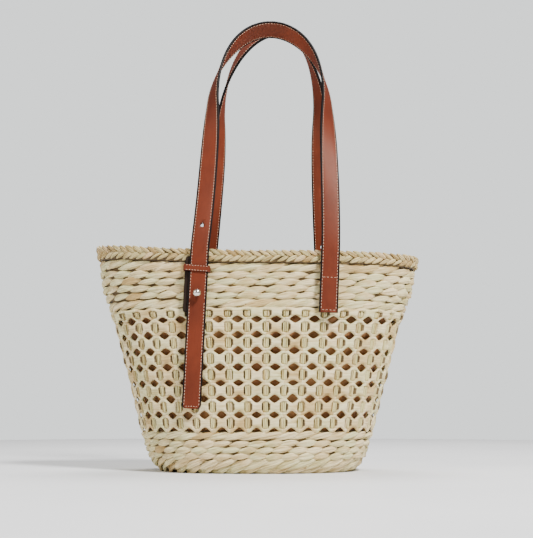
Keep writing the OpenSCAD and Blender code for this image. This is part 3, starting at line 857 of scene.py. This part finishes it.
STRAP_WIDTH = 18.8 * MM
STRAP_THICK = 3.0 * MM
LEG_SPACING = 65 * MM
ARCH_RISE = 90 * MM
HANDLE_OVER_CROWN = 7.7 * MM
LEG_BEND = 1.2
HANDLE_SHIFT = 8.5 * MM
CROWN_TWIST = math.radians(135)
CROWN_REACH = 118 * MM
CROWN_QUARTER = 116 * MM
CROWN_DEPTH = 10.8 * MM
WALL_TILT = math.radians(2.3)
LEG_SLANT = math.radians(2.5)
GAP = 0.35 * MM
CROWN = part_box("front_handle_strap")[1].z - HANDLE_OVER_CROWN
REAR_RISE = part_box("rear_handle_strap")[1].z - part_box("front_handle_strap")[1].z
ARCH_END = HINGE.z + GAP
ARCH_FOOT = CROWN - ARCH_RISE
OUTER_FACE = -HINGE.y
TAIL_JOINT = Vector(joints["front_tail_lift"]["pos_m"])
TAIL_FOOT = foot("front_strap_tail")
SEWN_FOOT = foot("front_sewn_end")
KEEPER_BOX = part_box("front_keeper_loop")
TAB_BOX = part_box("front_anchor_tab")
SPARE_HOLE = 246 * MM
HOLE_RADIUS = 2.0 * MM
SLIT_TOP = HOLE_RADIUS + 1.6 * MM
SLIT_HALF = 0.25 * MM
CUT_DEPTH = np.array([-4, 4]) * MM
BOX_TOP = 192.5 * MM
# Each arch: its half width, its lean and the curve of the lean, its rise, and how far past the crown,
# toward the sewn leg, its twist is greatest.
FRONT_ARCH = {"half": 59.5 * MM, "lean": 5 * MM, "curve": 3.4, "rise": ARCH_RISE, "turned": 4 * MM}
REAR_ARCH = {"half": 55 * MM, "lean": -10 * MM, "curve": -1, "rise": ARCH_RISE + REAR_RISE, "turned": 16 * MM}


def on_wall(side, x, y, z):
    """Points in a leg's frame: x across it, y in from its outer face, z up from the hinge line."""
    x, y, z = matched(x, y, z)
    x1 = x * math.cos(LEG_SLANT) + z * math.sin(LEG_SLANT)
    z1 = z * math.cos(LEG_SLANT) - x * math.sin(LEG_SLANT)
    y2 = y * math.cos(WALL_TILT) + z1 * math.sin(WALL_TILT)
    z2 = z1 * math.cos(WALL_TILT) - y * math.sin(WALL_TILT)
    return np.stack([side * LEG_SPACING + x1, y2 - OUTER_FACE, z2 + HINGE.z], -1)


def leg_axes(side):
    """The directions across a leg, out of its face and up along it."""
    origin = on_wall(side, 0, 0, 0)
    return [on_wall(side, *ahead) - origin for ahead in ((1, 0, 0), (0, -1, 0), (0, 0, 1))]


def placed(points, turn):
    """Moves points of a front handle drawn in the middle to the front handle's place, or the rear's."""
    moved = points * np.array([turn, turn, 1.0])
    return moved + np.array([HANDLE_SHIFT, 0, 0])


def arch_centre(v, half, lean, curve, rise, turned):
    """The arch's middle line: v runs from -1 at the buttoned leg over the crown to 1 at the sewn leg."""
    w = np.abs(v)
    angle = np.clip(w / 0.5, 0, 1) * math.pi / 2
    leg = np.clip((w - 0.5) / 0.5, 0, 1)
    z = np.where(w < 0.5, ARCH_FOOT + rise * np.cos(angle), ARCH_FOOT - (ARCH_FOOT - ARCH_END) * leg)
    leg_x = half + (LEG_SPACING - half) * leg ** LEG_BEND
    x = np.sign(v) * np.where(w < 0.5, half * np.sin(angle), leg_x)
    share = np.clip((z - ARCH_END) / (CROWN - ARCH_END), 0, None)
    x = x + lean * (1 - np.exp(-curve * share)) / (1 - math.exp(-curve))
    depth = OUTER_FACE - STRAP_THICK / 2
    y = -depth + (depth - CROWN_DEPTH) * share ** LEG_BEND
    run = np.where(w < 0.5, CROWN_QUARTER * w / 0.5, CROWN_QUARTER + (ARCH_FOOT - ARCH_END) * leg)
    twist = CROWN_TWIST * np.exp(-((np.sign(v) * run - turned) / CROWN_REACH) ** 2)
    return np.stack([x, y, z], -1), twist


def strap_frames(arch):
    """Centre, across and outward along the whole strap, from the buttoned leg's foot to the sewn foot."""
    centre, twist = arch_centre(np.linspace(-1, 1, 181), **arch)
    tangent = unit(np.gradient(centre, axis=0))
    ahead = np.array([0, -1.0, 0])
    front = unit(ahead - (tangent @ ahead)[:, None] * tangent)
    inward = np.cross(tangent, front)
    across = np.cos(twist)[:, None] * inward + np.sin(twist)[:, None] * front
    outward = np.cross(across, tangent)
    lower = []
    for side, reach in ((-1, SEAM_REACH), (1, SEWN_REACH)):
        z = -np.append(np.linspace(0.6 * MM, reach - 0.04 * MM, 40), reach)
        z = z[::-1] if side < 0 else z
        middle = on_wall(side, 0, STRAP_THICK / 2, z)
        wide, face, _ = leg_axes(side)
        wides = -side * np.broadcast_to(wide, middle.shape)
        lower.append((middle, wides, np.broadcast_to(face, middle.shape)))
    middles = (centre[3:-3], across[3:-3], outward[3:-3])
    return [np.concatenate(parts) for parts in zip(lower[0], middles, lower[1])]


def leg_reach(level):
    """How far below the hinge line a height is, measured along a leg."""
    return (HINGE.z - level) / (math.cos(LEG_SLANT) * math.cos(WALL_TILT))


SEAM_REACH = leg_reach(TAIL_JOINT.z) - 3 * MM
SEWN_REACH = leg_reach(SEWN_FOOT + 0.4 * MM)
TAIL_REACH = leg_reach(TAIL_FOOT + 0.4 * MM)
STITCH_INSET = 2.1 * MM
STITCH_PITCH = 3.05 * MM
STITCH_LIFT = STRAP_THICK / 2 * 0.8
STITCH_ARCH = np.array([-0.35, 0.12, 0.2, 0.12, -0.35]) * MM
KEEPER_STITCH_ARCH = np.array([-0.3, 0.1, 0.18, 0.1, -0.3]) * MM
STITCH_FAT = np.array([0.1, 0.24, 0.27, 0.24, 0.1]) * MM
STITCH_TURN = full_turn(6)


def strap_section():
    """A strap's section: crowned faces, a sunk line under the stitches and a rounded painted edge.
    Gives across, outward and paint for each point."""
    half, thick = STRAP_WIDTH / 2, STRAP_THICK / 2
    face = [(1.0, 0.28), (0.985, 0.62), (0.94, 0.84), (0.885, 0.88), (0.83, 0.84)]
    face += [(0.776, 0.79), (0.71, 0.85), (0.6, 0.93), (0.35, 0.98), (0.0, 1.0)]
    right = [(x * half, y * thick) for x, y in face]
    top = right + [(-x, y) for x, y in right[-2::-1]]
    ring = top + [(-x, -y) for x, y in top]
    painted = [0] * len(top) + [2] * len(top)
    for base in (0, len(top)):
        for near in (-1, 0, 1, 2, 3):
            painted[(base + near) % len(ring)] = 1
        for near in (len(top) - 5, len(top) - 4, len(top) - 3, len(top) - 2):
            painted[base + near] = 1
    return np.array(ring), np.array(painted)


def stitch(weave, middle, across, outward, marks, ident):
    """One stitch: a bent tube of thread along the points of middle."""
    ring = across * np.cos(STITCH_TURN)[:, None] + outward * np.sin(STITCH_TURN)[:, None]
    tube = middle[:, None] + STITCH_FAT[:, None, None] * ring
    weave.grid(tube, (marks - marks[0])[:, None], STITCH_TURN * MM, ident)


def add_stitches(weave, frames, skip=1):
    """A line of stitches along both edges of a strap, on both faces."""
    run = run_along(frames[0])
    count = int(run[-1] / STITCH_PITCH)
    s = np.array([0, 0.16, 0.5, 0.84, 1.0])
    reach = STRAP_WIDTH / 2 - STITCH_INSET
    lift = (STITCH_LIFT + STITCH_ARCH)[:, None]
    for k in range(skip, count - skip):
        marks = (k + 0.14 + 0.72 * s) * run[-1] / count
        lines = [np.stack([np.interp(marks, run, line[:, i]) for i in range(3)], -1) for line in frames]
        a, o = unit(lines[1]), unit(lines[2])
        for edge in (1, -1):
            for face in (1, -1):
                middle = lines[0] + edge * a * reach + face * o * lift
                stitch(weave, middle, a[:, None], o[:, None], marks, k)


def cross_line(weave, side, wide, count, y, level, gap=0.14, shift=0.0, tilt=0.0):
    """A line of stitches across a leg. gap is the share left free at both ends of each stitch."""
    _, face, up = leg_axes(side)
    for k in range(count):
        x = -wide / 2 + (k + gap + (1 - 2 * gap) * np.linspace(0, 1, 5)) * wide / count
        stitch(weave, on_wall(side, x - shift, y, level - tilt * x), up, face, x, k)


def stitch_piece(weave, name, turn):
    """The gathered stitches of a handle as one piece of thread."""
    weave.points = [placed(points, turn) for points in weave.points]
    obj = weave.piece(name, [thread])
    return obj


def recalculated(obj):
    """Turns every face of a closed mesh outward."""
    work = bmesh.new()
    work.from_mesh(obj.data)
    bmesh.ops.recalc_face_normals(work, faces=work.faces)
    work.to_mesh(obj.data)
    work.free()
    return obj


def strap_body(name, frames, run, turn):
    """A length of strap along its centre, across and outward lines."""
    ring, painted = strap_section()
    centre, across, outward = (line[:, None] for line in frames)
    points = centre + across * ring[:, :1] + outward * ring[:, 1:]
    weave = Weave()
    weave.grid(placed(points, turn), run[:, None], ring[:, 0], 1.0, paint=painted)
    return recalculated(weave.piece(name, [strap_leather, edge_paint, strap_back]))


def cut(obj, tools):
    """Cuts the tools out of obj, applies the cut and removes the tools."""
    for tool in tools:
        step = obj.modifiers.new("cut", "BOOLEAN")
        step.operation = "DIFFERENCE"
        step.solver = "EXACT"
        step.object = tool
        tool.hide_render = True
    bpy.context.view_layer.update()
    view = bpy.context.evaluated_depsgraph_get()
    whole = obj.evaluated_get(view)
    mesh = bpy.data.meshes.new_from_object(whole, preserve_all_data_layers=True, depsgraph=view)
    obj.modifiers.clear()
    obj.data = mesh
    for tool in tools:
        bpy.data.objects.remove(tool)


def hole_tools(origin, across, outward, up):
    """A round hole with a short slit above it, as cutting bodies."""
    turn = full_turn(28)
    ring = across * np.cos(turn)[:, None] * HOLE_RADIUS + up * np.sin(turn)[:, None] * HOLE_RADIUS
    corners = [(-SLIT_HALF, 0), (SLIT_HALF, 0), (SLIT_HALF, SLIT_TOP), (-SLIT_HALF, SLIT_TOP)]
    slit = np.array([across * x + up * y for x, y in corners])
    tools = []
    for name, outline in (("hole_tool", ring), ("slit_tool", slit)):
        body = Weave()
        body.grid(origin + CUT_DEPTH[:, None, None] * outward + outline[None], 0, 0, 0)
        tools.append(recalculated(body.piece(name, [edge_paint])))
    return tools


def handle_pieces(name, turn):
    """The strap of one handle, from its buttoned leg over the arch to its sewn end, and its stitches."""
    frames = strap_frames(FRONT_ARCH if turn > 0 else REAR_ARCH)
    centre, across, outward = frames
    strap = strap_body(f"{name}_strap", frames, run_along(centre), turn)
    nearest = int(np.argmin(np.abs(centre[: len(centre) // 2, 2] - SPARE_HOLE)))
    spin = np.array([turn, turn, 1.0])
    tangent = unit(centre[nearest + 1] - centre[nearest - 1])
    directions = [vector * spin for vector in (across[nearest], outward[nearest], tangent)]
    cut(strap, hole_tools(placed(centre[nearest], turn), *directions))
    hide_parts(f"{name}_handle_strap", f"{name}_buttoned_strap", f"{name}_sewn_end")
    seams = Weave()
    add_stitches(seams, frames)
    box_stitches(seams)
    stitches = stitch_piece(seams, f"{name}_strap_stitches", turn)
    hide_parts(f"{name}_sewn_end_thread")
    for obj in (strap, stitches):
        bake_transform(obj)


def box_stitches(weave):
    """The two cross lines of the box that sews the fixed end to the bag."""
    wide = STRAP_WIDTH - 2 * STITCH_INSET
    for level in (-SEWN_REACH + 2 * MM, -leg_reach(BOX_TOP)):
        cross_line(weave, 1, wide, int(wide / STITCH_PITCH), 0.02 * MM - STITCH_ARCH, level)


def make_tail(name, turn):
    """The free end of the strap, with rounded corners and its stitches."""
    corner = 3.6 * MM
    level_run = np.linspace(SEAM_REACH + 0.04 * MM, TAIL_REACH - corner, 46)
    rounded_run = TAIL_REACH - corner * (1 - np.sin(np.linspace(0.15, 1.0, 9) * math.pi / 2))
    reach = np.concatenate([[SEAM_REACH], level_run, rounded_run])
    near_end = np.clip((reach - (TAIL_REACH - corner)) / corner, 0, 1)
    narrow = 1 - (1 - np.sqrt(1 - np.clip(near_end, 0, 0.985) ** 2)) * corner / (STRAP_WIDTH / 2)
    middle = on_wall(-1, 0, STRAP_THICK / 2, -reach)
    wide, face, _ = leg_axes(-1)
    across, outward = np.broadcast_to(wide, middle.shape), np.broadcast_to(face, middle.shape)
    tail = strap_body(f"{name}_tail", (middle, across * narrow[:, None], outward), reach, turn)
    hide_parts(f"{name}_strap_tail")
    seams = Weave()
    keep = reach < TAIL_REACH - 2.4 * MM
    add_stitches(seams, (middle[keep], across[keep], outward[keep]), skip=0)
    end_width = STRAP_WIDTH - 2 * STITCH_INSET - 2 * MM
    cross_line(seams, -1, end_width, 5, 0.1 * MM - STITCH_ARCH, -TAIL_REACH + STITCH_INSET)
    stitches = stitch_piece(seams, f"{name}_tail_stitches", turn)
    for obj in (tail, stitches):
        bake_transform(obj)


TAB_THICK = 2 * MM
TAB_WIDTH = 21 * MM
TAB_SHIFT = 3.4 * MM
KEEPER_SHIFT = 1.9 * MM
KEEPER_WIDTH = 25.4 * MM
KEEPER_WALL = 1.2 * MM


def make_filler(name, turn):
    """The leather under the sewn end, which fills the step down to the weave."""
    weave = Weave()
    half = STRAP_WIDTH / 2
    z = -np.array([0.8 * MM, 1.6 * MM, SEWN_REACH - MM, SEWN_REACH])
    front, back = STRAP_THICK - 0.1 * MM, STRAP_THICK + GAP + TAB_THICK
    section = [(-half, front), (half, front), (half, back), (-half, back)]
    points = np.stack([on_wall(1, x, y, z) for x, y in section], 1)
    weave.grid(placed(points, turn), z[:, None], np.zeros(4), 1.0, paint=[0, 1, 0, 1])
    materials = [split_leather, edge_paint]
    recalculated(show(weave, f"{name}_sewn_filler", None, materials, smooth=False))


def make_tab(name, turn):
    """The anchor tab: a leather patch with painted edges behind the adjustable leg. Its faces are nearly
    black, painted shade for the shadow that the strap casts on it.
    """
    weave = Weave()
    top, bottom = -leg_reach(TAB_BOX[1].z), -leg_reach(TAB_BOX[0].z)
    corner = 3 * MM
    edge = np.linspace(0, 1, 7)
    rounding = corner * (1 - np.sqrt(1 - (1 - edge) ** 2))
    z = np.concatenate([bottom + corner * edge, top - corner * edge[::-1]])
    inset = np.concatenate([rounding, rounding[::-1]])
    half = TAB_WIDTH / 2
    front = STRAP_THICK + GAP
    bevel = 0.5 * MM
    left = [(-1, front, bevel), (-1, front + bevel, 0), (-1, front + TAB_THICK, 0)]
    right = [(1, y, cut_back) for _, y, cut_back in left[::-1]]
    rows = []
    for x_sign, y, cut_back in left + right:
        rows.append(on_wall(-1, -TAB_SHIFT + x_sign * (half - inset - cut_back), y, z))
    points = np.stack(rows, 1)
    weave.grid(placed(points, turn), z[:, None], np.zeros(6), 1.0, paint=[1, 1, 0, 1, 1, 0])
    materials = [tab_leather, edge_paint]
    recalculated(show(weave, f"{name}_tab", f"{name}_anchor_tab", materials, smooth=False))


def make_keeper(name, turn):
    """The keeper: a stitched band round the strap and the tab."""
    weave = Weave()
    low, high = -leg_reach(KEEPER_BOX[0].z + 1.5 * MM), -leg_reach(KEEPER_BOX[1].z - 0.8 * MM)
    height = high - low
    half = KEEPER_WIDTH / 2
    front = -GAP - KEEPER_WALL / 2
    back = STRAP_THICK + GAP + TAB_THICK + 0.1 * MM + KEEPER_WALL / 2
    corner = 1.5 * MM
    quarter = np.linspace(0, math.pi / 2, 6)
    wide, near, far = half - corner, front + corner, back - corner
    path = []
    for cx, cy, start in ((wide, near, -1), (wide, far, 0), (-wide, far, 1), (-wide, near, 2)):
        for a in start * math.pi / 2 + quarter:
            path.append((cx + corner * math.cos(a), cy + corner * math.sin(a), a))
    fill = []
    for (x, y, a), (x2, y2, _) in zip(path, path[1:] + path[:1]):
        steps = 12 if math.hypot(x2 - x, y2 - y) > 4 * MM else 1
        fill += [(x + (x2 - x) * k / steps, y + (y2 - y) * k / steps, a) for k in range(steps)]
    path = np.array(fill)
    wall_half = KEEPER_WALL / 2
    raised = [(0.2, 1.0), (0.36, 0.9), (0.42, 1.0), (0.47, 0.8), (0.5, 0.3)]
    profile = [(-p, q) for p, q in raised[::-1]] + [(0, 1.05)] + raised
    profile += [(0.5, -0.5), (0.4, -1.0), (-0.4, -1.0), (-0.5, -0.5)]
    normal = np.stack([np.cos(path[:, 2]), np.sin(path[:, 2])], -1)
    tilt = 0.035
    columns = []
    for p, q in profile:
        x = -KEEPER_SHIFT + path[:, 0] + normal[:, 0] * q * wall_half
        y = path[:, 1] + normal[:, 1] * q * wall_half
        columns.append(on_wall(-1, x, y, (low + high) / 2 + p * height - tilt * path[:, 0]))
    points = np.stack(columns, 1)
    paint = [1] + [0] * 8 + [1, 1, 0, 0, 0, 1]
    weave.grid(placed(points, turn), path[:, :1], np.zeros(len(profile)), 1.0, ring=True, paint=paint)
    materials = [strap_leather, edge_paint]
    recalculated(show(weave, f"{name}_keeper", f"{name}_keeper_loop", materials))
    seams = Weave()
    y = front - wall_half * 0.9 - KEEPER_STITCH_ARCH
    for edge in (-1, 1):
        level = (low + high) / 2 + edge * 0.36 * height
        cross_line(seams, -1, KEEPER_WIDTH - 3 * MM, 8, y, level, 0.12, KEEPER_SHIFT, tilt)
    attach(stitch_piece(seams, f"{name}_keeper_stitches", turn), "basket")


def make_stud(name, turn):
    """The ball stud: a flanged neck and a ball."""
    lo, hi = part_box(f"{name}_stud_ball")
    radius = 4 * MM
    level = -leg_reach((lo.z + hi.z) / 2)
    tip = GAP + 2 * radius
    angles = np.linspace(math.radians(28), math.pi, 18)
    profile = [(r * MM, h * MM) for r, h in ((3.2, -0.2), (3.4, 0.2), (3.2, 0.7), (1.9, 0.95))]
    profile += [(radius * math.sin(a), tip - radius - radius * math.cos(a)) for a in angles]
    turned = full_turn(40)
    columns = []
    for r, h in profile:
        r = max(r, 0.02 * MM)
        columns.append(on_wall(-1, r * np.cos(turned), -h, level + r * np.sin(turned)))
    weave = Weave()
    weave.grid(placed(np.stack(columns, 0), turn), 0.0, 0.0, 1.0)
    recalculated(show(weave, f"{name}_stud", f"{name}_stud_ball", [metal]))


def finish_carried(name):
    """Gives the CAD nodes that stay their finished materials."""
    finishes = (("stud_screw", metal), ("sewn_end_backing", split_leather), ("tab_backing", split_leather))
    for part, material in finishes:
        node = frame["nodes"][f"{name}_{part}"]
        node.data.materials.clear()
        node.data.materials.append(material)


for name, turn in (("front", 1), ("rear", -1)):
    handle_pieces(name, turn)
    make_tail(name, turn)
    make_filler(name, turn)
    make_tab(name, turn)
    make_keeper(name, turn)
    make_stud(name, turn)
    finish_carried(name)
